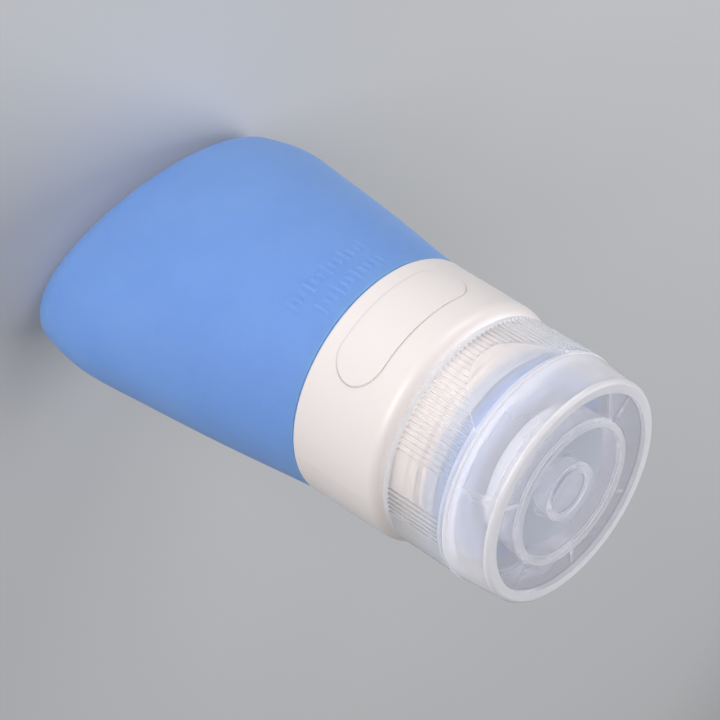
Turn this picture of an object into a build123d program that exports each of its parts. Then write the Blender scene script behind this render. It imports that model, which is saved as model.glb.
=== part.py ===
from build123d import *
import math
import os

os.makedirs("parts", exist_ok=True)

# ---- driving dimensions, millimetres ----
# +Z is the bottle's axis out of its mouth, X its wide way, -Y its front; z = 0 is the flat land of the base.
height = 82.5  # base to the flat top of the lid

# squeeze body: half width and half depth of its elliptical sections at each height
body_levels = [0.0, 5.0, 12.0, 21.0, 34.0, 48.8]
body_half_x = [22.4, 23.9, 24.6, 23.15, 20.9, 18.0]
body_half_y = [9.9, 11.2, 13.6, 15.8, 17.35, 18.0]
base_round = 4.8
wall = 2.3
floor_wall = 2.5
tuck_r, tuck_top = 15.9, 51.3  # part of the body inside the foot of the collar
shoulder_r, shoulder_z = 14.85, 56.5
throat_r, throat_z = 12.6, 60.6
bore_r = 10.9
lip_r, lip_bottom, lip_top = 13.95, 71.5, 74.9

# white neck
neck_core_r, neck_bore_r = 14.4, 12.75
neck_top, flange_top, flange_bottom, flange_r = 71.3, 62.45, 61.3, 16.6
skirt_in_r, skirt_out_r, skirt_bottom = 15.1, 15.95, 51.5
thread_pitch = 3.0
thread_from, thread_to = 65.4, 70.8
thread_crest_r = 15.55

# label sleeve and collar
sleeve_in_r, sleeve_out_r, sleeve_bottom, sleeve_top = 16.02, 16.6, 50.9, 61.1
collar_foot, collar_top = 49.05, 64.3
collar_foot_r, collar_top_r, collar_in_r = 18.1, 17.9, 16.8
collar_hole_r, collar_bead_r = 15.75, 16.25
collar_turn = 7.0  # degrees: the collar sits turned a little on the bottle
window_z, window_len, window_high = 55.4, 23.4, 7.3
window_r, window_edge, window_gap = 18.14, 0.18, 0.025

# screw cap
cap_foot, cap_shoulder = 64.7, 75.05
cap_r, cap_bore_r, cap_upper_bore_r = 17.0, 15.85, 14.2
cap_foot_r, cap_foot_high = 17.05, 0.9
cap_thread_from, cap_thread_to, cap_thread_crest_r = 65.8, 71.5, 14.75
deck_r, deck_top, deck_under = 15.2, 76.1, 75.1
boss_r, boss_tip_r, boss_top, boss_bore_r, boss_plate = 9.85, 9.4, 79.75, 8.65, 1.2
orifice_r = 4.5
rib_step, rib_high, rib_base, rib_tip = 2.73, 0.24, 0.5, 0.24
scoop_bottom = 68.1

# lid
lid_foot, lid_foot_r, lid_top_r = 75.25, 16.95, 16.4
lid_in_foot_r, lid_in_top_r, lid_plate = 15.6, 14.7, 0.9
ring_in_r, ring_out_r, ring_foot = 9.9, 10.65, 77.95
plug_r, plug_in_r, plug_foot = 4.1, 3.2, 78.7

# lid hinge
hinge_y, hinge_z = 18.6, 75.15
pin_r, ear_hole_r, ear_r, knuckle_r = 0.8, 0.86, 1.45, 1.4
knuckle_half, ear_from, ear_to = 3.1, 3.3, 4.9


def smooth_value(values, level):
    """Value at a height on a smooth curve through one value at each of the body's levels."""
    slopes = []
    for i in range(len(values)):
        low, high = max(i - 1, 0), min(i + 1, len(values) - 1)
        slopes.append((values[high] - values[low]) / (body_levels[high] - body_levels[low]))
    i = 0
    while i < len(body_levels) - 2 and level > body_levels[i + 1]:
        i += 1
    span = body_levels[i + 1] - body_levels[i]
    t = (level - body_levels[i]) / span
    return (
        (2 * t**3 - 3 * t**2 + 1) * values[i]
        + (t**3 - 2 * t**2 + t) * span * slopes[i]
        + (3 * t**2 - 2 * t**3) * values[i + 1]
        + (t**3 - t**2) * span * slopes[i + 1]
    )


def body_sections(inset, floor, rounding, top):
    """Height, half width and half depth of the sections of the body's skin, set in by a distance, from its rounded floor up."""
    sections = []
    for angle in (0, 18, 36, 54, 72, 90):
        level = floor + rounding * (1 - math.cos(math.radians(angle)))
        back = inset + rounding * (1 - math.sin(math.radians(angle)))
        sections.append((level, smooth_value(body_half_x, level) - back, smooth_value(body_half_y, level) - back))
    for level in (8.0, 12.0, 16.5, 21.0, 27.5, 34.0, 41.0, top):
        sections.append((level, smooth_value(body_half_x, level) - inset, smooth_value(body_half_y, level) - inset))
    return sections


# ---- squeeze body: hollow silicone, wide flat base end, round neck with a soft lip ----
with BuildPart() as squeeze_body:
    for level, half_x, half_y in body_sections(0.0, 0.0, base_round, body_levels[-1]):
        with BuildSketch(Plane.XY.offset(level)):
            Ellipse(half_x, half_y)
    loft()
    fillet(squeeze_body.faces().sort_by(Axis.Z)[-1].edges(), radius=0.25)
    # the part inside the collar and the neck, up to the lip
    with BuildSketch(Plane.XZ):
        with BuildLine():
            Polyline(
                (0, 46.5),
                (tuck_r, 46.5),
                (tuck_r, tuck_top),
                (shoulder_r, tuck_top),
                (shoulder_r, shoulder_z),
                (throat_r, throat_z),
                (throat_r, lip_bottom),
                (lip_r, lip_bottom),
                (lip_r, lip_top),
                (0, lip_top),
                close=True,
            )
        make_face()
    revolve(axis=Axis.Z)
    # the hollow: main cavity, then the shoulder and the bore
    for level, half_x, half_y in body_sections(wall, floor_wall, base_round - wall, 46.7):
        with BuildSketch(Plane.XY.offset(level)):
            Ellipse(half_x, half_y)
    loft(mode=Mode.SUBTRACT)
    with BuildSketch(Plane.XZ):
        with BuildLine():
            Polyline(
                (0, 46.6),
                (body_half_x[-1] - wall, 46.6),
                (13.0, 50.7),
                (13.0, 55.7),
                (bore_r, 59.9),
                (bore_r, lip_top + 1),
                (0, lip_top + 1),
                close=True,
            )
        make_face()
    revolve(axis=Axis.Z, mode=Mode.SUBTRACT)
squeeze_body.part.label = "squeeze_body"

# ---- threaded neck: rigid tube with the outside thread, base flange and skirt ----
with BuildPart() as threaded_neck:
    with BuildSketch(Plane.XZ):
        with BuildLine():
            Polyline(
                (skirt_in_r, skirt_bottom),
                (skirt_out_r, skirt_bottom),
                (skirt_out_r, flange_bottom),
                (flange_r, flange_bottom),
                (flange_r, flange_top),
                (neck_core_r, flange_top),
                (neck_core_r, neck_top - 0.4),
                (neck_core_r - 0.4, neck_top),
                (neck_bore_r, neck_top),
                (neck_bore_r, throat_z + 0.3),
                (skirt_in_r, shoulder_z + 0.2),
                close=True,
            )
        make_face()
    revolve(axis=Axis.Z)
    with BuildLine(Plane.XY.offset(thread_from + 0.55)) as neck_helix:
        Helix(pitch=thread_pitch, height=thread_to - thread_from - 1.1, radius=neck_core_r)
    with BuildSketch(Plane(origin=(neck_core_r, 0, thread_from + 0.55), x_dir=(1, 0, 0), z_dir=(0, -1, 0))):
        with BuildLine():
            Polyline(
                (-0.25, -0.6),
                (0, -0.55),
                (thread_crest_r - neck_core_r, -0.28),
                (thread_crest_r - neck_core_r, 0.28),
                (0, 0.55),
                (-0.25, 0.6),
                close=True,
            )
        make_face()
    sweep(path=neck_helix.line, normal=(0, 0, 1))
threaded_neck.part.label = "threaded_neck"

# ---- label sleeve on the neck's skirt, behind the collar's window ----
with BuildPart() as label_sleeve:
    with BuildSketch(Plane.XY.offset(sleeve_bottom)):
        Circle(sleeve_out_r)
        Circle(sleeve_in_r, mode=Mode.SUBTRACT)
    extrude(amount=sleeve_top - sleeve_bottom)
label_sleeve.part.label = "label_sleeve"

# ---- collar: glossy white shell with a rounded shoulder ----
COLLAR_FRONT = Plane(
    origin=(0, 0, window_z),
    x_dir=(math.cos(math.radians(collar_turn)), math.sin(math.radians(collar_turn)), 0),
    z_dir=(math.sin(math.radians(collar_turn)), -math.cos(math.radians(collar_turn)), 0),
)
window_chord = 2 * collar_top_r * math.sin(window_len / 2 / collar_top_r)
with BuildPart() as collar:
    with BuildSketch(Plane.XZ) as collar_profile:
        with BuildLine():
            Polyline(
                (collar_bead_r, collar_foot),
                (collar_foot_r, collar_foot),
                (collar_top_r, collar_top),
                (collar_hole_r, collar_top),
                (collar_hole_r, 63.1),
                (collar_in_r - 0.5, 63.1),
                (collar_in_r, 62.6),
                (collar_in_r, 50.8),
                (collar_bead_r, 50.3),
                close=True,
            )
        make_face()
        fillet(collar_profile.vertices().group_by(Axis.X)[-2:][0], radius=2.0)
        fillet(collar_profile.vertices().sort_by(Axis.X)[-1], radius=0.5)
    revolve(axis=Axis.Z)
    # the opening that holds the window
    with BuildSketch(COLLAR_FRONT):
        SlotOverall(window_chord, window_high)
    extrude(amount=25, mode=Mode.SUBTRACT)
collar.part.label = "collar"

# ---- collar window: a stadium-shaped pane that stands a little proud of the collar ----
with BuildPart() as collar_window:
    with BuildSketch(COLLAR_FRONT):
        SlotOverall(window_chord - 2 * window_gap, window_high - 2 * window_gap)
    extrude(amount=25)
    with BuildSketch(Plane.XZ):
        with BuildLine():
            Polyline(
                (16.85, 46.5),
                (window_r, 46.5),
                (window_r, 66.5),
                (16.85, 66.5),
                close=True,
            )
        make_face()
    revolve(axis=Axis.Z, mode=Mode.INTERSECT)
    window_face = collar_window.faces().filter_by(GeomType.CYLINDER).sort_by(SortBy.AREA)[-1]
    fillet(window_face.edges(), radius=window_edge)
collar_window.part.label = "collar_window"

# ---- the shape that the thumb scoop removes from the cap's front: arched lower edge, dished inwards upwards ----
with BuildPart() as scoop_cut:
    with BuildSketch(Plane.XZ):
        with BuildLine():
            Polyline(
                (cap_r - 0.08, scoop_bottom - 1.0),
                (cap_r - 0.8, cap_shoulder + 0.5),
                (cap_r + 2.5, cap_shoulder + 0.5),
                (cap_r + 2.5, scoop_bottom - 1.0),
                close=True,
            )
        make_face()
    revolve(axis=Axis.Z)
    with BuildSketch(Plane.XZ):
        with BuildLine():
            Spline(
                (-9.6, cap_shoulder + 0.6),
                (-8.4, 73.9),
                (-6.5, 71.45),
                (-4.5, 69.65),
                (-2.5, 68.45),
                (0, scoop_bottom),
                (2.5, 68.45),
                (4.5, 69.65),
                (6.5, 71.45),
                (8.4, 73.9),
                (9.6, cap_shoulder + 0.6),
            )
            Line((9.6, cap_shoulder + 0.6), (-9.6, cap_shoulder + 0.6))
        make_face()
    extrude(amount=25, mode=Mode.INTERSECT)

# ---- screw cap ----
rib_angles = [a * rib_step for a in range(-21, 22)]
rib_angles += [s * (77.7 + k * rib_step) for s in (-1, 1) for k in range(6)]
with BuildPart() as screw_cap:
    with BuildSketch(Plane.XZ):
        with BuildLine():
            Polyline(
                (cap_bore_r, cap_foot),
                (cap_foot_r - 0.15, cap_foot),
                (cap_foot_r, cap_foot + 0.15),
                (cap_foot_r, cap_foot + cap_foot_high),
                (cap_r, cap_foot + cap_foot_high + 0.1),
                (cap_r, cap_shoulder - 0.2),
                (cap_r - 0.2, cap_shoulder),
                (deck_r, cap_shoulder),
                (deck_r, deck_top - 0.2),
                (deck_r - 0.2, deck_top),
                (boss_r, deck_top),
                (boss_r, 77.8),
                (boss_tip_r, boss_top - 0.2),
                (boss_tip_r - 0.2, boss_top),
                (orifice_r + 0.25, boss_top),
                (orifice_r, boss_top - 0.25),
                (orifice_r, boss_top - boss_plate),
                (boss_bore_r, boss_top - boss_plate),
                (boss_bore_r, deck_under),
                (cap_upper_bore_r, deck_under),
                (cap_upper_bore_r, 72.7),
                (cap_bore_r - 0.3, 72.55),
                (cap_bore_r, 72.25),
                close=True,
            )
        make_face()
    revolve(axis=Axis.Z)
    # grip ribs in three groups, the long one over the front
    with BuildSketch(Plane.XY.offset(cap_foot + cap_foot_high)):
        for angle in rib_angles:
            with Locations(Location((0, 0, 0), (0, 0, -90 + angle))):
                Polygon(
                    (cap_r - 0.1, -rib_base / 2),
                    (cap_r + rib_high, -rib_tip / 2),
                    (cap_r + rib_high, rib_tip / 2),
                    (cap_r - 0.1, rib_base / 2),
                    align=None,
                )
    extrude(amount=cap_shoulder - 0.7 - cap_foot - cap_foot_high)
    # inside thread, half a pitch away from the neck's
    with BuildLine(Plane.XY.offset(cap_thread_from + 0.55)) as cap_helix:
        Helix(pitch=thread_pitch, height=cap_thread_to - cap_thread_from - 1.1, radius=cap_bore_r)
    phase = 360 * (cap_thread_from - thread_from - thread_pitch / 2) / thread_pitch
    with BuildSketch(Plane(origin=(cap_bore_r, 0, cap_thread_from + 0.55), x_dir=(1, 0, 0), z_dir=(0, -1, 0))):
        with BuildLine():
            Polyline(
                (0.25, -0.6),
                (0, -0.55),
                (cap_thread_crest_r - cap_bore_r, -0.28),
                (cap_thread_crest_r - cap_bore_r, 0.28),
                (0, 0.55),
                (0.25, 0.6),
                close=True,
            )
        make_face()
    cap_thread = sweep(path=cap_helix.line, normal=(0, 0, 1), mode=Mode.PRIVATE)
    add(cap_thread.rotate(Axis.Z, phase))
    # thumb scoop at the front
    add(scoop_cut.part, mode=Mode.SUBTRACT)
    # pocket in the deck's front rim for the lid's catch
    with BuildSketch(Plane.XY.offset(75.25)):
        with Locations((0, -15.4)):
            Rectangle(5.2, 2.0)
    extrude(amount=2, mode=Mode.SUBTRACT)
    # hinge ears at the back, and room between them for the lid's knuckle
    for ear_face in (ear_from, -ear_to):
        with BuildSketch(Plane.YZ.offset(ear_face)):
            with Locations((hinge_y, hinge_z)):
                Circle(ear_r)
            Polygon(
                (16.2, 70.9),
                (16.9, 70.9),
                (hinge_y + ear_r * 0.83, hinge_z - ear_r * 0.56),
                (hinge_y - 0.4, hinge_z - 0.2),
                (16.2, cap_shoulder - 0.1),
                align=None,
            )
            with Locations((hinge_y, hinge_z)):
                Circle(ear_hole_r, mode=Mode.SUBTRACT)
        extrude(amount=ear_to - ear_from)
    with BuildSketch(Plane.YZ.offset(-ear_from)):
        with Locations((hinge_y, hinge_z)):
            Circle(knuckle_r + 0.35)
    extrude(amount=2 * ear_from, mode=Mode.SUBTRACT)
screw_cap.part.label = "screw_cap"

# ---- drip valve: slit silicone disc that sits loose in the boss ----
valve_r, valve_top, valve_low = 8.5, 78.45, 77.55
with BuildPart() as drip_valve:
    with BuildSketch(Plane.XZ):
        with BuildLine():
            Polyline(
                (0, 76.5),
                (2.6, 76.65),
                (4.6, 77.25),
                (5.4, valve_low),
                (valve_r, valve_low),
                (valve_r, valve_top),
                (5.6, valve_top),
                (4.9, 78.0),
                (2.7, 77.25),
                (0, 77.1),
                close=True,
            )
        make_face()
    revolve(axis=Axis.Z)
    # the cross slit
    with BuildSketch(Plane.XY.offset(76.0)):
        Rectangle(4.4, 0.12)
        Rectangle(0.12, 4.4)
    extrude(amount=2, mode=Mode.SUBTRACT)
drip_valve.part.label = "drip_valve"

# ---- valve retainer: ring pressed into the boss from below ----
with BuildPart() as valve_retainer:
    with BuildSketch(Plane.XZ) as retainer_profile:
        with BuildLine():
            Polyline(
                (6.5, 75.5),
                (boss_bore_r - 0.03, 75.5),
                (boss_bore_r - 0.03, 77.35),
                (6.9, 77.35),
                (6.5, 76.95),
                close=True,
            )
        make_face()
    revolve(axis=Axis.Z)
valve_retainer.part.label = "valve_retainer"


def lid_in_r(level):
    """Inside radius of the lid's wall at a height."""
    t = (level - lid_foot) / (height - lid_plate - lid_foot)
    return lid_in_foot_r + t * (lid_in_top_r - lid_in_foot_r)


# ---- flip lid ----
plate_under = height - lid_plate
with BuildPart() as flip_lid:
    with BuildSketch(Plane.XZ) as lid_profile:
        with BuildLine():
            Polyline(
                (0, plate_under),
                (plug_in_r, plate_under),
                (plug_in_r, plug_foot),
                (plug_r - 0.4, plug_foot),
                (plug_r, plug_foot + 0.9),
                (plug_r, plate_under),
                (ring_in_r, plate_under),
                (ring_in_r, ring_foot + 0.3),
                (ring_in_r + 0.2, ring_foot),
                (ring_out_r, ring_foot),
                (ring_out_r, plate_under),
                (lid_in_r(plate_under), plate_under),
                (lid_in_r(lid_foot), lid_foot),
                (lid_foot_r + 0.1, lid_foot),
                (lid_foot_r + 0.25, lid_foot + 0.15),
                (lid_foot_r + 0.25, lid_foot + 0.4),
                (lid_foot_r, lid_foot + 0.6),
                (lid_top_r, height),
                (0, height),
                close=True,
            )
        make_face()
        fillet(lid_profile.vertices().filter_by_position(Axis.X, lid_top_r - 0.01, lid_top_r + 0.01), radius=0.6)
    revolve(axis=Axis.Z)
    # two tall gussets between ring and wall, toward the front corners
    for angle in (-60, 60):
        with BuildSketch(Plane(origin=(0, 0, 0), x_dir=(math.sin(math.radians(angle)), -math.cos(math.radians(angle)), 0), z_dir=(-math.cos(math.radians(angle)), -math.sin(math.radians(angle)), 0))):
            Polygon(
                (ring_out_r - 0.2, plate_under + 0.1),
                (lid_in_r(plate_under) + 0.2, plate_under + 0.1),
                (lid_in_r(76.3) + 0.2, 76.3),
                (14.95, 76.3),
                (13.9, 78.5),
                (ring_out_r - 0.2, 80.7),
                align=None,
            )
        extrude(amount=0.4, both=True)
    # three short fins on the hinge side of the ring
    for angle, reach in ((-131, 14.35), (131, 14.35), (180, 14.6)):
        with BuildSketch(Plane(origin=(0, 0, 0), x_dir=(math.sin(math.radians(angle)), -math.cos(math.radians(angle)), 0), z_dir=(-math.cos(math.radians(angle)), -math.sin(math.radians(angle)), 0))):
            Polygon(
                (ring_out_r - 0.2, plate_under + 0.1),
                (reach, plate_under + 0.1),
                (reach, 79.0),
                (ring_out_r - 0.2, 80.8),
                align=None,
            )
        extrude(amount=0.35, both=True)
    # front catch
    with BuildSketch(Plane.YZ.offset(-2.2)):
        Polygon((-15.9, 75.5), (-15.1, 75.5), (-14.75, 75.85), (-14.75, 76.25), (-15.3, 76.8), (-15.9, 76.8), align=None)
    extrude(amount=4.4)
    # hinge knuckle with its moulded stub pins
    with BuildSketch(Plane.YZ.offset(-knuckle_half)):
        with Locations((hinge_y, hinge_z)):
            Circle(knuckle_r)
        Polygon(
            (16.2, 75.45),
            (hinge_y - 0.2, 75.45),
            (hinge_y + 1.2, 75.9),
            (16.4, 78.9),
            (15.8, 78.9),
            align=None,
        )
    extrude(amount=2 * knuckle_half)
    with BuildSketch(Plane.YZ.offset(-ear_to + 0.1)):
        with Locations((hinge_y, hinge_z)):
            Circle(pin_r)
    extrude(amount=2 * (ear_to - 0.1))
flip_lid.part.label = "flip_lid"

# ---- one file to each piece ----
export_step(squeeze_body.part, "parts/squeeze_body.step")
export_step(threaded_neck.part, "parts/threaded_neck.step")
export_step(label_sleeve.part, "parts/label_sleeve.step")
export_step(collar.part, "parts/collar.step")
export_step(collar_window.part, "parts/collar_window.step")
export_step(screw_cap.part, "parts/screw_cap.step")
export_step(drip_valve.part, "parts/drip_valve.step")
export_step(valve_retainer.part, "parts/valve_retainer.step")
export_step(flip_lid.part, "parts/flip_lid.step")

for piece in (squeeze_body, threaded_neck, label_sleeve, collar, collar_window, screw_cap, drip_valve, valve_retainer, flip_lid):
    box = piece.part.bounding_box()
    print(piece.part.label, "solids", len(piece.part.solids()), "valid", piece.part.is_valid, "volume", round(piece.part.volume, 1), "z", round(box.min.Z, 2), round(box.max.Z, 2), "size", [round(v, 2) for v in (box.size.X, box.size.Y, box.size.Z)])
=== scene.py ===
import math

import bmesh
import bpy
import numpy as np
from mathutils import Matrix, Vector


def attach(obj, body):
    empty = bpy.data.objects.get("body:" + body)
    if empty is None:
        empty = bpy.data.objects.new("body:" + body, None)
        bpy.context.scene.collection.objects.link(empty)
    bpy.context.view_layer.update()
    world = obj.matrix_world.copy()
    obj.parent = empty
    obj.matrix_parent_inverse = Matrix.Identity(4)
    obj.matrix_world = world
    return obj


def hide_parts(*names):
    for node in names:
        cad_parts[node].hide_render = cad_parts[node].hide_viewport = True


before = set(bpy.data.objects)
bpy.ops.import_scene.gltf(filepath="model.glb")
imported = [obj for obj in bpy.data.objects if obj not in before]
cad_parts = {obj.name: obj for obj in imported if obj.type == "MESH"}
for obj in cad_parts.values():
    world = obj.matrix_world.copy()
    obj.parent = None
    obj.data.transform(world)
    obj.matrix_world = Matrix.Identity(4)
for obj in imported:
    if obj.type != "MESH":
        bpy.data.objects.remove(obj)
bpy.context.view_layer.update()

MM = 0.001
scene = bpy.context.scene


# ------------------------------------------------------------------ camera and look of the picture
# axes of the camera in the object's frame: image right, image down and the viewing direction
CAM_POS = Vector((0.16447, -0.25344, 0.23527))
CAM_RIGHT = Vector((-0.692004, 0.091231, 0.716105))
CAM_DOWN = Vector((0.556223, 0.699706, 0.448362))
CAM_FORWARD = Vector((-0.460159, 0.708582, -0.534944))

cam_data = bpy.data.cameras.new("camera")
cam_data.sensor_width = 36.0
cam_data.lens = 130.0
cam_data.clip_start = 0.01
cam_data.clip_end = 30.0
camera = bpy.data.objects.new("camera", cam_data)
scene.collection.objects.link(camera)
basis = Matrix((CAM_RIGHT, -CAM_DOWN, -CAM_FORWARD)).transposed()
camera.matrix_world = Matrix.Translation(CAM_POS) @ basis.to_4x4()
scene.camera = camera

scene.view_settings.view_transform = "Standard"
scene.view_settings.look = "None"
scene.view_settings.exposure = 0.0
scene.view_settings.gamma = 1.0
scene.cycles.max_bounces = 24
scene.cycles.transmission_bounces = 20
scene.cycles.transparent_max_bounces = 32
scene.cycles.diffuse_bounces = 5
scene.cycles.glossy_bounces = 6
scene.cycles.sample_clamp_indirect = 4.0
scene.cycles.caustics_reflective = False
scene.cycles.caustics_refractive = True
scene.cycles.blur_glossy = 1.0


# ------------------------------------------------------------------ node helpers
def material(name):
    m = bpy.data.materials.new(name)
    m.use_nodes = True
    nt = m.node_tree
    nt.nodes.clear()
    out = nt.nodes.new("ShaderNodeOutputMaterial")
    return m, nt, out


def node(nt, kind, **values):
    n = nt.nodes.new(kind)
    for key, value in values.items():
        if hasattr(n, key):
            setattr(n, key, value)
        else:
            n.inputs[key].default_value = value
    return n


def noise(nt, scale, detail=2.0, rough=0.5, stretch=None, seed=0.0):
    """Value noise over object coordinates in millimetres."""
    tc = nt.nodes.new("ShaderNodeTexCoord")
    mp = nt.nodes.new("ShaderNodeMapping")
    k = 1000.0
    mp.inputs["Scale"].default_value = tuple(k * s for s in (stretch or (1, 1, 1)))
    mp.inputs["Location"].default_value = (seed, seed * 0.7, seed * 0.3)
    nt.links.new(tc.outputs["Object"], mp.inputs["Vector"])
    nz = nt.nodes.new("ShaderNodeTexNoise")
    nz.inputs["Scale"].default_value = scale
    nz.inputs["Detail"].default_value = detail
    nz.inputs["Roughness"].default_value = rough
    nt.links.new(mp.outputs["Vector"], nz.inputs["Vector"])
    return nz.outputs["Fac"]


def ramp(nt, fac, low, high, a, b):
    r = nt.nodes.new("ShaderNodeMapRange")
    r.inputs["From Min"].default_value = low
    r.inputs["From Max"].default_value = high
    r.inputs["To Min"].default_value = a
    r.inputs["To Max"].default_value = b
    nt.links.new(fac, r.inputs["Value"])
    return r.outputs["Result"]


def colour_mix(nt, fac, a, b):
    m = nt.nodes.new("ShaderNodeMix")
    m.data_type = "RGBA"
    m.inputs["A"].default_value = (*a, 1)
    m.inputs["B"].default_value = (*b, 1)
    nt.links.new(fac, m.inputs["Factor"])
    return m.outputs["Result"]


def bump(nt, height, strength, distance, normal=None):
    b = nt.nodes.new("ShaderNodeBump")
    b.inputs["Strength"].default_value = strength
    b.inputs["Distance"].default_value = distance
    nt.links.new(height, b.inputs["Height"])
    if normal is not None:
        nt.links.new(normal, b.inputs["Normal"])
    return b.outputs["Normal"]


def math_node(nt, op, a, b=None, clamp=False):
    n = nt.nodes.new("ShaderNodeMath")
    n.operation = op
    n.use_clamp = clamp
    for i, value in enumerate((a, b)):
        if value is None:
            continue
        if isinstance(value, (int, float)):
            n.inputs[i].default_value = value
        else:
            nt.links.new(value, n.inputs[i])
    return n.outputs[0]


def axis_place(nt):
    """Distance from the bottle's axis and height along it, in millimetres."""
    tc = nt.nodes.new("ShaderNodeTexCoord")
    sep = nt.nodes.new("ShaderNodeSeparateXYZ")
    nt.links.new(tc.outputs["Object"], sep.inputs[0])
    xx = math_node(nt, "MULTIPLY", sep.outputs["X"], sep.outputs["X"])
    yy = math_node(nt, "MULTIPLY", sep.outputs["Y"], sep.outputs["Y"])
    r = math_node(nt, "SQRT", math_node(nt, "ADD", xx, yy))
    return math_node(nt, "MULTIPLY", r, 1000.0), math_node(nt, "MULTIPLY", sep.outputs["Z"], 1000.0)


# ------------------------------------------------------------------ materials
def silicone_blue():
    m, nt, out = material("silicone_blue")
    p = node(nt, "ShaderNodeBsdfPrincipled")
    fac = noise(nt, 0.09, 3.0, 0.55)
    skin = colour_mix(nt, ramp(nt, fac, 0.3, 0.7, 0, 1), (0.169, 0.331, 0.733), (0.185, 0.353, 0.757))
    # painted shade: above 66 mm the silicone is painted a darker, greyer blue, so that the lip under the cap looks
    # less lit than the body
    lip = nt.nodes.new("ShaderNodeMix")
    lip.data_type = "RGBA"
    nt.links.new(ramp(nt, axis_place(nt)[1], 66.0, 67.0, 0.0, 1.0), lip.inputs["Factor"])
    nt.links.new(skin, lip.inputs["A"])
    lip.inputs["B"].default_value = (0.235, 0.305, 0.51, 1.0)
    nt.links.new(lip.outputs["Result"], p.inputs["Base Color"])
    p.inputs["IOR"].default_value = 1.42
    p.inputs["Specular IOR Level"].default_value = 0.42
    p.inputs["Subsurface Weight"].default_value = 0.85
    p.inputs["Subsurface Radius"].default_value = (0.35, 0.6, 1.0)
    p.inputs["Subsurface Scale"].default_value = 0.0045
    p.inputs["Sheen Weight"].default_value = 0.04
    p.inputs["Sheen Roughness"].default_value = 0.45
    p.inputs["Sheen Tint"].default_value = (0.8, 0.88, 1.0, 1.0)
    smear = noise(nt, 0.35, 4.0, 0.6, seed=3.1)
    nt.links.new(ramp(nt, smear, 0.3, 0.7, 0.54, 0.60), p.inputs["Roughness"])
    fine = noise(nt, 9.0, 2.0, 0.6, seed=1.7)
    nt.links.new(bump(nt, fine, 0.10, 0.00005), p.inputs["Normal"])
    nt.links.new(p.outputs["BSDF"], out.inputs["Surface"])
    return m


def seam_zone(nt, half, radius, height, turn, inner, outer):
    """1 along the outline of the window in the collar, from inner to outer of it in millimetres: the mask of the
    painted shade in the fine joint.
    """
    tc = nt.nodes.new("ShaderNodeTexCoord")
    sep = nt.nodes.new("ShaderNodeSeparateXYZ")
    nt.links.new(tc.outputs["Object"], sep.inputs[0])
    c, s = 1000.0 * math.cos(math.radians(turn)), 1000.0 * math.sin(math.radians(turn))
    across = math_node(nt, "ADD", math_node(nt, "MULTIPLY", sep.outputs["X"], c), math_node(nt, "MULTIPLY", sep.outputs["Y"], s))
    front = math_node(nt, "SUBTRACT", math_node(nt, "MULTIPLY", sep.outputs["X"], s), math_node(nt, "MULTIPLY", sep.outputs["Y"], c))
    dx = math_node(nt, "MAXIMUM", math_node(nt, "SUBTRACT", math_node(nt, "ABSOLUTE", across), half), 0.0)
    dz = math_node(nt, "SUBTRACT", math_node(nt, "MULTIPLY", sep.outputs["Z"], 1000.0), height)
    reach = math_node(nt, "SQRT", math_node(nt, "ADD", math_node(nt, "MULTIPLY", dx, dx), math_node(nt, "MULTIPLY", dz, dz)))
    off = math_node(nt, "SUBTRACT", reach, radius)
    on = ramp(nt, front, 0.0, 1.0, 0.0, 1.0)
    return math_node(nt, "MULTIPLY", band(nt, off, inner, outer, 0.05), on)


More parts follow.
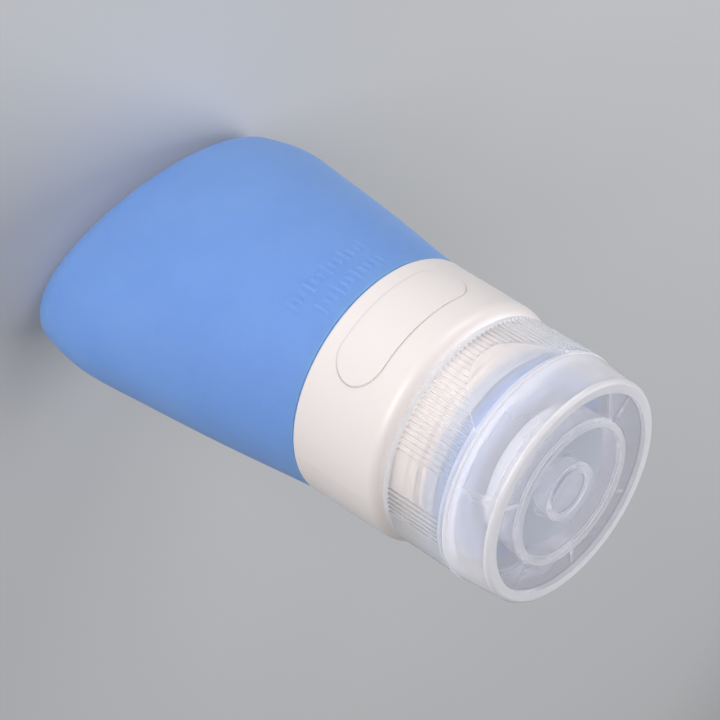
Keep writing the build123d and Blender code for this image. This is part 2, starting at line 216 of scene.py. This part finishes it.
def gloss_white(name, tint=(0.83, 0.795, 0.785), rough=(0.16, 0.24), upper=None, edge=None, seam=None):
    m, nt, out = material(name)
    p = node(nt, "ShaderNodeBsdfPrincipled")
    fac = noise(nt, 0.06, 2.0, 0.5, seed=5.0)
    lighter = tuple(min(1.0, c * 1.012) for c in tint)
    colour = colour_mix(nt, ramp(nt, fac, 0.3, 0.7, 0, 1), tint, lighter)
    if upper:
        # upper end painted lilac-blue: partly standing in for the silicone lip over the rim, partly a painted
        # reflection of the blue lip
        zone = ramp(nt, axis_place(nt)[1], upper[0] - 0.15, upper[0] + 0.15, 0.0, 1.0)
        lip_tint_and_reflection = nt.nodes.new("ShaderNodeMix")
        lip_tint_and_reflection.data_type = "RGBA"
        nt.links.new(zone, lip_tint_and_reflection.inputs["Factor"])
        nt.links.new(colour, lip_tint_and_reflection.inputs["A"])
        lip_tint_and_reflection.inputs["B"].default_value = (*upper[1], 1)
        colour = lip_tint_and_reflection.outputs["Result"]
    if edge:
        # painted light: the rounded edge of the window is painted lighter than its face, to lift the shade that falls
        # on the fillet and in the narrow gap around it
        tc = nt.nodes.new("ShaderNodeTexCoord")
        flat = nt.nodes.new("ShaderNodeVectorMath")
        flat.operation = "MULTIPLY"
        nt.links.new(tc.outputs["Object"], flat.inputs[0])
        flat.inputs[1].default_value = (1.0, 1.0, 0.0)
        unit = nt.nodes.new("ShaderNodeVectorMath")
        unit.operation = "NORMALIZE"
        nt.links.new(flat.outputs[0], unit.inputs[0])
        dot = nt.nodes.new("ShaderNodeVectorMath")
        dot.operation = "DOT_PRODUCT"
        nt.links.new(tc.outputs["Normal"], dot.inputs[0])
        nt.links.new(unit.outputs[0], dot.inputs[1])
        edge_painted_light = nt.nodes.new("ShaderNodeMix")
        edge_painted_light.data_type = "RGBA"
        nt.links.new(ramp(nt, dot.outputs["Value"], 0.45, 0.97, 1.0, 0.0), edge_painted_light.inputs["Factor"])
        nt.links.new(colour, edge_painted_light.inputs["A"])
        edge_painted_light.inputs["B"].default_value = (*edge, 1)
        colour = edge_painted_light.outputs["Result"]
    # painted shade: a fine darker line along the joint of window and collar, where shade gathers in the gap
    if seam:
        seam_painted_shade = nt.nodes.new("ShaderNodeMix")
        seam_painted_shade.data_type = "RGBA"
        nt.links.new(seam_zone(nt, *seam[:6]), seam_painted_shade.inputs["Factor"])
        nt.links.new(colour, seam_painted_shade.inputs["A"])
        seam_painted_shade.inputs["B"].default_value = (*(c * seam[6] for c in tint), 1)
        colour = seam_painted_shade.outputs["Result"]
    nt.links.new(colour, p.inputs["Base Color"])
    p.inputs["IOR"].default_value = 1.49
    p.inputs["Subsurface Weight"].default_value = 0.25
    p.inputs["Subsurface Radius"].default_value = (1.0, 0.85, 0.75)
    p.inputs["Subsurface Scale"].default_value = 0.0008
    smear = noise(nt, 0.2, 3.0, 0.5, seed=8.0)
    nt.links.new(ramp(nt, smear, 0.3, 0.7, *rough), p.inputs["Roughness"])
    flow = noise(nt, 0.22, 2.0, 0.5, stretch=(1, 1, 0.5), seed=2.0)
    nt.links.new(bump(nt, flow, 0.02, 0.0003), p.inputs["Normal"])
    nt.links.new(p.outputs["BSDF"], out.inputs["Surface"])
    return m


def band(nt, value, low, high, soft):
    """1 between low and high, falling to 0 over soft on both sides."""
    up = ramp(nt, value, low - soft, low, 0.0, 1.0)
    down = ramp(nt, value, high, high + soft, 1.0, 0.0)
    return math_node(nt, "MULTIPLY", up, down)


def milky(name, haze, bands=(), thin=(), feet=(), milk=(0.86, 0.88, 0.92), clear=(0.985, 0.98, 0.97), rough=(0.12, 0.18), ior=1.07, shadow=0.94, gloss=1.0, blur=0.20, behind=0.42, flanks=None, low=None, dull=None):
    """Milky clear moulded plastic. Light either passes or is scattered by the milk in the wall; a slanting way
    through the wall meets more of it, and so do the thick places given in bands as
    (lowest radius, highest radius, lowest height, highest height, share of milk), in millimetres. thin lists in
    the same way the inner faces, where only a part of the haze is counted, because the outer face has the rest.
    feet lists the narrow faces square to the axis, which look down the whole height of a thin wall. blur is the
    roughness of the clear share, or (radius, roughness inside of it, roughness outside of it). flanks is
    (lowest radius, highest radius, lowest height, highest height, light kept) for the sides of ribs, which bend
    the light away from the eye. low is (height, clear colour below it) for a piece with a thinner side wall.
    dull is (radius, lowest height, highest height, shine kept) for a flat face with a finer mould texture."""
    m, nt, out = material(name)
    flow = noise(nt, 0.11, 3.0, 0.55, seed=4.0)
    lw = nt.nodes.new("ShaderNodeLayerWeight")
    lw.inputs["Blend"].default_value = 0.5
    cos = math_node(nt, "MAXIMUM", math_node(nt, "SUBTRACT", 1.0, lw.outputs["Facing"]), 0.10)
    radius, height = axis_place(nt)
    amount = ramp(nt, flow, 0.3, 0.7, -haze * 0.92, -haze * 1.08)
    for r0, r1, z0, z1, keep in thin:
        zone = math_node(nt, "MULTIPLY", band(nt, radius, r0, r1, 0.06), band(nt, height, z0, z1, 0.06))
        amount = math_node(nt, "MULTIPLY", amount, math_node(nt, "SUBTRACT", 1.0, math_node(nt, "MULTIPLY", zone, 1.0 - keep)))
    depth = math_node(nt, "DIVIDE", amount, cos)
    share = math_node(nt, "SUBTRACT", 1.0, math_node(nt, "EXPONENT", depth))
    for r0, r1, z0, z1, extra in bands:
        zone = math_node(nt, "MULTIPLY", band(nt, radius, r0, r1, 0.12), band(nt, height, z0, z1, 0.12))
        zone = math_node(nt, "MULTIPLY", zone, extra)
        rest = math_node(nt, "SUBTRACT", 1.0, share)
        share = math_node(nt, "ADD", share, math_node(nt, "MULTIPLY", rest, zone))
    if feet:
        tc = nt.nodes.new("ShaderNodeTexCoord")
        sep = nt.nodes.new("ShaderNodeSeparateXYZ")
        nt.links.new(tc.outputs["Normal"], sep.inputs[0])
        level = ramp(nt, math_node(nt, "ABSOLUTE", sep.outputs["Z"]), 0.75, 0.95, 0.0, 1.0)
        for r0, r1, z0, z1, extra in feet:
            zone = math_node(nt, "MULTIPLY", band(nt, radius, r0, r1, 0.06), band(nt, height, z0, z1, 0.06))
            zone = math_node(nt, "MULTIPLY", math_node(nt, "MULTIPLY", zone, level), extra)
            rest = math_node(nt, "SUBTRACT", 1.0, share)
            share = math_node(nt, "ADD", share, math_node(nt, "MULTIPLY", rest, zone))
    fine = noise(nt, 1.4, 3.0, 0.6, seed=9.0)
    normal = bump(nt, fine, 0.08, 0.00003)
    tone = colour_mix(nt, ramp(nt, flow, 0.3, 0.7, 0, 1), tuple(c * 0.985 for c in milk), milk)
    diffuse = node(nt, "ShaderNodeBsdfDiffuse")
    nt.links.new(tone, diffuse.inputs["Color"])
    through = node(nt, "ShaderNodeBsdfTranslucent")
    nt.links.new(tone, through.inputs["Color"])
    scatter = nt.nodes.new("ShaderNodeMixShader")
    scatter.inputs["Fac"].default_value = behind
    nt.links.new(diffuse.outputs[0], scatter.inputs[1])
    nt.links.new(through.outputs[0], scatter.inputs[2])
    glass = node(nt, "ShaderNodeBsdfGlass")
    # painted shade: the clear share is darker on the sides of ribs, standing in for the light that they bend away from
    # the eye
    if flanks:
        r0, r1, z0, z1, keep = flanks
        side_tc = nt.nodes.new("ShaderNodeTexCoord")
        flat = nt.nodes.new("ShaderNodeVectorMath")
        flat.operation = "MULTIPLY"
        nt.links.new(side_tc.outputs["Object"], flat.inputs[0])
        flat.inputs[1].default_value = (1.0, 1.0, 0.0)
        unit = nt.nodes.new("ShaderNodeVectorMath")
        unit.operation = "NORMALIZE"
        nt.links.new(flat.outputs[0], unit.inputs[0])
        dot = nt.nodes.new("ShaderNodeVectorMath")
        dot.operation = "DOT_PRODUCT"
        nt.links.new(side_tc.outputs["Normal"], dot.inputs[0])
        nt.links.new(unit.outputs[0], dot.inputs[1])
        slanting = ramp(nt, math_node(nt, "ABSOLUTE", dot.outputs["Value"]), 0.55, 0.85, 1.0, 0.0)
        zone = math_node(nt, "MULTIPLY", band(nt, radius, r0, r1, 0.02), band(nt, height, z0, z1, 0.1))
        glass_tone = nt.nodes.new("ShaderNodeMix")
        glass_tone.data_type = "RGBA"
        nt.links.new(math_node(nt, "MULTIPLY", zone, slanting), glass_tone.inputs["Factor"])
        glass_tone.inputs["A"].default_value = (*clear, 1)
        glass_tone.inputs["B"].default_value = (*(c * keep for c in clear), 1)
        nt.links.new(glass_tone.outputs["Result"], glass.inputs["Color"])
    elif low:
        glass_tone = nt.nodes.new("ShaderNodeMix")
        glass_tone.data_type = "RGBA"
        nt.links.new(ramp(nt, height, low[0] - 0.1, low[0], 0.0, 1.0), glass_tone.inputs["Factor"])
        glass_tone.inputs["A"].default_value = (*low[1], 1)
        glass_tone.inputs["B"].default_value = (*clear, 1)
        nt.links.new(glass_tone.outputs["Result"], glass.inputs["Color"])
    else:
        glass.inputs["Color"].default_value = (*clear, 1)
    glass.inputs["IOR"].default_value = ior
    if isinstance(blur, tuple):
        split, inside, outside = blur
        nt.links.new(ramp(nt, radius, split - 0.1, split, inside, outside), glass.inputs["Roughness"])
    else:
        glass.inputs["Roughness"].default_value = blur
    clear_part = glass.outputs[0]
    if dull:
        # the flat face mirrors nothing from its clear share
        pass_on = node(nt, "ShaderNodeBsdfRefraction", Color=(*clear, 1))
        pass_on.inputs["IOR"].default_value = ior
        pass_on.inputs["Roughness"].default_value = blur
        plate = math_node(nt, "MULTIPLY", band(nt, radius, -1.0, dull[0], 0.1), band(nt, height, dull[1] - 0.85, 90.0, 0.02))
        clear_mix = nt.nodes.new("ShaderNodeMixShader")
        nt.links.new(plate, clear_mix.inputs["Fac"])
        nt.links.new(glass.outputs[0], clear_mix.inputs[1])
        nt.links.new(pass_on.outputs[0], clear_mix.inputs[2])
        clear_part = clear_mix.outputs[0]
    body = nt.nodes.new("ShaderNodeMixShader")
    nt.links.new(share, body.inputs["Fac"])
    nt.links.new(clear_part, body.inputs[1])
    nt.links.new(scatter.outputs[0], body.inputs[2])
    shine = node(nt, "ShaderNodeBsdfGlossy")
    smear = noise(nt, 0.6, 4.0, 0.6, seed=6.0)
    nt.links.new(ramp(nt, smear, 0.3, 0.7, *rough), shine.inputs["Roughness"])
    nt.links.new(normal, shine.inputs["Normal"])
    nt.links.new(normal, diffuse.inputs["Normal"])
    fres = node(nt, "ShaderNodeFresnel")
    fres.inputs["IOR"].default_value = 1.46
    geo = nt.nodes.new("ShaderNodeNewGeometry")
    front = math_node(nt, "SUBTRACT", 1.0, geo.outputs["Backfacing"])
    coat = math_node(nt, "MULTIPLY", math_node(nt, "MULTIPLY", fres.outputs[0], front), gloss, clamp=True)
    if dull:
        face = math_node(nt, "MULTIPLY", band(nt, radius, -1.0, dull[0], 0.3), band(nt, height, dull[1], dull[2], 0.1))
        coat = math_node(nt, "MULTIPLY", coat, math_node(nt, "SUBTRACT", 1.0, math_node(nt, "MULTIPLY", face, 1.0 - dull[3])))
    top = nt.nodes.new("ShaderNodeMixShader")
    nt.links.new(coat, top.inputs["Fac"])
    nt.links.new(body.outputs[0], top.inputs[1])
    nt.links.new(shine.outputs[0], top.inputs[2])
    t = node(nt, "ShaderNodeBsdfTransparent", Color=(shadow, shadow, shadow * 1.01, 1))
    lp = nt.nodes.new("ShaderNodeLightPath")
    mix = nt.nodes.new("ShaderNodeMixShader")
    nt.links.new(lp.outputs["Is Shadow Ray"], mix.inputs["Fac"])
    nt.links.new(top.outputs[0], mix.inputs[1])
    nt.links.new(t.outputs["BSDF"], mix.inputs[2])
    nt.links.new(mix.outputs["Shader"], out.inputs["Surface"])
    return m


M_BODY = silicone_blue()
# the collar carries a painted shade line along the joint around the window
M_COLLAR = gloss_white("collar_white", (0.83, 0.78, 0.768), (0.34, 0.38), seam=(7.235, 3.65, 55.4, 7.0, 0.0, 0.11, 0.78))
# painted light: the window's rounded edge is painted lighter, against the shade along its gap
M_WINDOW = gloss_white("window_white", (0.825, 0.78, 0.77), (0.30, 0.34), edge=(0.95, 0.92, 0.91))
# the neck's upper end is painted lilac-blue: a stand-in for the lip over the rim and a painted reflection of the lip
M_NECK = gloss_white("neck_white", (0.69, 0.625, 0.60), (0.34, 0.44), upper=(69.6, (0.42, 0.435, 0.51)))
M_CAP = milky(
    "cap_milky",
    0.32,
    thin=((-1.0, 16.1, 60.0, 75.0, 0.25), (-1.0, 8.9, 75.0, 79.0, 0.45), (-1.0, 15.3, 75.9, 76.3, 0.45)),
    bands=((16.2, 20.0, 60.0, 65.7, 0.58), (15.7, 20.0, 74.45, 75.2, 0.55), (9.0, 9.95, 76.2, 79.9, 0.35), (4.6, 9.3, 79.65, 80.5, 0.20)),
    feet=((9.0, 9.6, 79.3, 80.5, 0.6), (4.3, 4.85, 79.2, 80.5, 0.75), (14.6, 15.4, 75.8, 76.4, 0.2)),
    clear=(0.97, 0.965, 0.955),
    blur=(16.15, 0.28, 0.05),
    flanks=(16.96, 17.3, 65.75, 74.6, 0.80),
)
M_LID = milky(
    "lid_milky",
    0.28,
    thin=((14.45, 15.75, 76.0, 81.4, 0.20), (-1.0, 14.75, 81.4, 81.7, 0.10), (10.6, 14.4, 76.0, 81.3, 0.20), (-1.0, 14.7, 81.8, 90.0, 0.28)),
    bands=(
        (14.75, 20.0, 81.9, 90.0, 0.95),
        (14.0, 20.0, 70.0, 75.7, 0.25),
        (9.75, 10.6, 81.9, 90.0, 0.50),
        (10.62, 10.85, 81.45, 81.75, 0.50),
        (9.65, 9.9, 81.45, 81.75, 0.50),
        (4.05, 4.35, 81.45, 81.75, 0.60),
        (3.1, 4.15, 81.9, 90.0, 0.15),
    ),
    feet=((2.9, 4.3, 78.0, 81.2, 0.90), (9.7, 10.8, 77.5, 81.2, 0.92), (10.8, 15.7, 75.6, 81.3, 0.90)),
    milk=(0.893, 0.882, 0.905),
    clear=(0.795, 0.80, 0.82),
    blur=0.10,
    behind=0.28,
    low=(81.3, (0.965, 0.965, 0.975)),
    dull=(15.9, 82.4, 90.0, 0.08),
)
M_VALVE = milky("valve_milky", 0.34, rough=(0.3, 0.4), milk=(0.80, 0.84, 0.90))
M_RETAINER = milky("retainer_milky", 0.24)


def finish_node(name, mat):
    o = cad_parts[name]
    for i in range(len(o.material_slots)):
        o.material_slots[i].material = mat
    return o


finish_node("collar", M_COLLAR)
finish_node("collar_window", M_WINDOW)
finish_node("threaded_neck", M_NECK)
finish_node("label_sleeve", M_NECK)
finish_node("screw_cap", M_CAP)
finish_node("flip_lid", M_LID)
finish_node("drip_valve", M_VALVE)
finish_node("valve_retainer", M_RETAINER)


# ------------------------------------------------------------------ squeeze body in soft silicone
LEVELS = [0.0, 5.0, 12.0, 21.0, 34.0, 48.8]
HALF_X = [22.4, 23.9, 24.6, 23.15, 20.9, 18.0]
HALF_Y = [9.9, 11.2, 13.6, 15.8, 17.35, 18.0]
BASE_ROUND, WALL, FLOOR = 4.8, 2.3, 2.5


def smooth_value(values, level):
    slopes = []
    for i in range(len(values)):
        lo, hi = max(i - 1, 0), min(i + 1, len(values) - 1)
        slopes.append((values[hi] - values[lo]) / (LEVELS[hi] - LEVELS[lo]))
    i = 0
    while i < len(LEVELS) - 2 and level > LEVELS[i + 1]:
        i += 1
    span = LEVELS[i + 1] - LEVELS[i]
    t = (level - LEVELS[i]) / span
    return (
        (2 * t**3 - 3 * t**2 + 1) * values[i]
        + (t**3 - 2 * t**2 + t) * span * slopes[i]
        + (3 * t**2 - 2 * t**3) * values[i + 1]
        + (t**3 - t**2) * span * slopes[i + 1]
    )


# raised graduation ticks on the front: (direction from the front in degrees, height, half length along the bottle)
TICKS = []
for row_z, start, stop, count in ((42.1, -29.0, 15.5, 13), (45.9, -23.0, 14.0, 11)):
    for k in range(count):
        direction = start + (stop - start) * k / (count - 1)
        TICKS.append((direction, row_z, 1.35 if k % 3 == 0 else 0.8))
TICK_HALF, TICK_RISE, TICK_SOFT = 0.26, 0.13, 0.24


def tick_rise(direction, z, radius):
    rise = 0.0
    for d, zc, half in TICKS:
        s = abs(math.radians(direction - d)) * radius - TICK_HALF
        v = abs(z - zc) - half
        out = math.hypot(max(s, 0.0), max(v, 0.0)) if (s > 0 or v > 0) else max(s, v)
        t = min(max(0.5 - out / TICK_SOFT, 0.0), 1.0)
        rise = max(rise, t * t * (3 - 2 * t))
    return rise * TICK_RISE


def body_rings():
    """(half x, half y, z, is skin) from the centre of the base, up the outside, over the lip and down the inside to the centre of the floor."""
    rings = []
    a0, b0 = smooth_value(HALF_X, 0.0) - BASE_ROUND, smooth_value(HALF_Y, 0.0) - BASE_ROUND
    for k in (0.02, 0.35, 0.7, 0.9):
        rings.append((a0 * k, b0 * k, 0.0, False))
    for i in range(0, 15):
        t = math.radians(90 * i / 14)
        z = BASE_ROUND * (1 - math.cos(t))
        back = BASE_ROUND * (1 - math.sin(t))
        rings.append((smooth_value(HALF_X, z) - back, smooth_value(HALF_Y, z) - back, z, True))
    z = BASE_ROUND
    levels = list(np.arange(BASE_ROUND + 1.0, 40.0, 1.0)) + list(np.arange(40.0, 48.7, 0.16))
    for z in levels:
        rings.append((smooth_value(HALF_X, z), smooth_value(HALF_Y, z), z, True))
    # the upper edge lies close under the foot of the collar
    top = LEVELS[-1] + 0.17
    r = smooth_value(HALF_X, LEVELS[-1])
    for i in range(0, 6):
        t = math.radians(90 * i / 5)
        rings.append((r - 0.16 * (1 - math.cos(t)), r - 0.16 * (1 - math.cos(t)), top - 0.16 + 0.16 * math.sin(t), False))
    for rr, zz in ((15.95, 48.97), (15.9, 49.02), (15.9, 51.2), (15.8, 51.3), (14.9, 51.3), (14.85, 51.35), (14.85, 56.5), (14.8, 56.6), (12.65, 60.52), (12.6, 60.65), (12.6, 71.22), (12.72, 71.32), (13.8, 71.32), (13.92, 71.36), (13.95, 71.5), (13.95, 74.6), (13.85, 74.82), (13.65, 74.9), (11.2, 74.9), (11.0, 74.82), (10.9, 74.6), (10.9, 60.0), (10.97, 59.8), (12.9, 55.85), (13.0, 55.6), (13.0, 50.8), (13.1, 50.6), (14.4, 49.0), (15.1, 47.8), (15.5, 46.9), (15.72, 46.4)):
        rings.append((rr, rr, zz, False))
    for z in np.arange(45.0, FLOOR + 3.4, -1.6):
        rings.append((smooth_value(HALF_X, z) - WALL, smooth_value(HALF_Y, z) - WALL, z, False))
    rr = BASE_ROUND - WALL
    for i in range(9, -1, -1):
        t = math.radians(90 * i / 9)
        z = FLOOR + rr * (1 - math.cos(t))
        back = WALL + rr * (1 - math.sin(t))
        rings.append((smooth_value(HALF_X, z) - back, smooth_value(HALF_Y, z) - back, z, False))
    a1, b1 = rings[-1][0], rings[-1][1]
    for k in (0.7, 0.35, 0.02):
        rings.append((a1 * k, b1 * k, FLOOR, False))
    return rings


def build_body():
    # columns: even all round, and close together over the graduation ticks at the front
    columns = []
    u = 0.0
    while u < 360.0 - 1e-6:
        columns.append(u)
        u += 0.4 if 248.0 <= u < 306.0 else 2.0
    rings = body_rings()
    verts, faces = [], []
    n = len(columns)
    for a, b, z, skin in rings:
        for deg in columns:
            t = math.radians(deg)
            x, y = a * math.cos(t), b * math.sin(t)
            if skin and 39.0 < z < 48.2:
                # direction from the front, turning towards -X
                direction = math.degrees(math.atan2(-x, -y))
                if -40 < direction < 30:
                    radius = math.hypot(x, y)
                    k = 1 + tick_rise(direction, z, radius) / radius
                    x, y = x * k, y * k
            verts.append((x * MM, y * MM, z * MM))
    for i in range(len(rings) - 1):
        for j in range(n):
            k = (j + 1) % n
            faces.append((i * n + j, i * n + k, (i + 1) * n + k, (i + 1) * n + j))
    faces.append(tuple(range(n - 1, -1, -1)))
    faces.append(tuple((len(rings) - 1) * n + j for j in range(n)))
    me = bpy.data.meshes.new("squeeze_body_soft")
    me.from_pydata(verts, [], faces)
    me.update()
    bm = bmesh.new()
    bm.from_mesh(me)
    bmesh.ops.recalc_face_normals(bm, faces=bm.faces)
    for f in bm.faces:
        f.smooth = True
    for e in bm.edges:
        if len(e.link_faces) == 2 and e.calc_face_angle() > math.radians(50):
            e.smooth = False
    bm.to_mesh(me)
    bm.free()
    o = bpy.data.objects.new("squeeze_body_soft", me)
    scene.collection.objects.link(o)
    o.data.materials.append(M_BODY)
    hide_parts("squeeze_body")
    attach(o, "bottle")
    return o


build_body()


# ------------------------------------------------------------------ floor, world and lamps
def floor():
    m, nt, out = material("floor_pale")
    p = node(nt, "ShaderNodeBsdfPrincipled")
    fac = noise(nt, 0.01, 2.0, 0.5)
    pale = colour_mix(nt, ramp(nt, fac, 0.3, 0.7, 0, 1), (0.60, 0.605, 0.615), (0.62, 0.625, 0.63))
    # painted shade: greyer well away from the bottle, under the lamps, so that the ground stays evenly lit from every
    # side
    away = nt.nodes.new("ShaderNodeMix")
    away.data_type = "RGBA"
    far = axis_place(nt)[0]
    ring = math_node(nt, "SUBTRACT", ramp(nt, far, 260.0, 520.0, 0.0, 1.0), ramp(nt, far, 640.0, 900.0, 0.0, 1.0))
    nt.links.new(ring, away.inputs["Factor"])
    nt.links.new(pale, away.inputs["A"])
    away.inputs["B"].default_value = (0.17, 0.172, 0.176, 1.0)
    nt.links.new(away.outputs["Result"], p.inputs["Base Color"])
    p.inputs["Roughness"].default_value = 0.9
    p.inputs["Specular IOR Level"].default_value = 0.0
    nt.links.new(p.outputs["BSDF"], out.inputs["Surface"])
    bm = bmesh.new()
    bmesh.ops.create_grid(bm, x_segments=24, y_segments=24, size=3.0)
    me = bpy.data.meshes.new("floor")
    bm.to_mesh(me)
    bm.free()
    o = bpy.data.objects.new("floor", me)
    o.location = (0, 0, -0.0001)
    scene.collection.objects.link(o)
    o.data.materials.append(m)


floor()

world = bpy.data.worlds.new("studio")
scene.world = world
world.use_nodes = True
bg = world.node_tree.nodes.get("Background")
bg.inputs["Color"].default_value = (0.95, 0.97, 1.0, 1.0)
bg.inputs["Strength"].default_value = 0.18


def lamp_at(name, azimuth, elevation, distance, size, size_y, watts, colour, target=(0.0, 0.0, 0.045)):
    """A soft lamp at an azimuth from the front (-Y) towards +X and an elevation, in degrees."""
    a, e = math.radians(azimuth), math.radians(elevation)
    d = Vector((math.sin(a) * math.cos(e), -math.cos(a) * math.cos(e), math.sin(e)))
    lamp = bpy.data.lights.new(name, "AREA")
    lamp.shape = "RECTANGLE"
    lamp.size = size
    lamp.size_y = size_y
    lamp.energy = watts
    lamp.color = colour
    o = bpy.data.objects.new(name, lamp)
    scene.collection.objects.link(o)
    o.location = Vector(target) + d * distance
    o.rotation_mode = "QUATERNION"
    o.rotation_quaternion = (-d).to_track_quat("-Z", "Y")
    o.visible_camera = False
    return o


lamp_at("key", 47, 12, 0.62, 0.44, 0.26, 3.00, (1.0, 0.975, 0.96))
lamp_at("key_left", -34, 13, 0.70, 0.44, 0.26, 1.83, (1.0, 0.98, 0.97))
lamp_at("overhead", -110, 50, 0.40, 0.26, 0.26, 0.95, (0.95, 0.97, 1.0), target=(0.0, 0.0, 0.075))
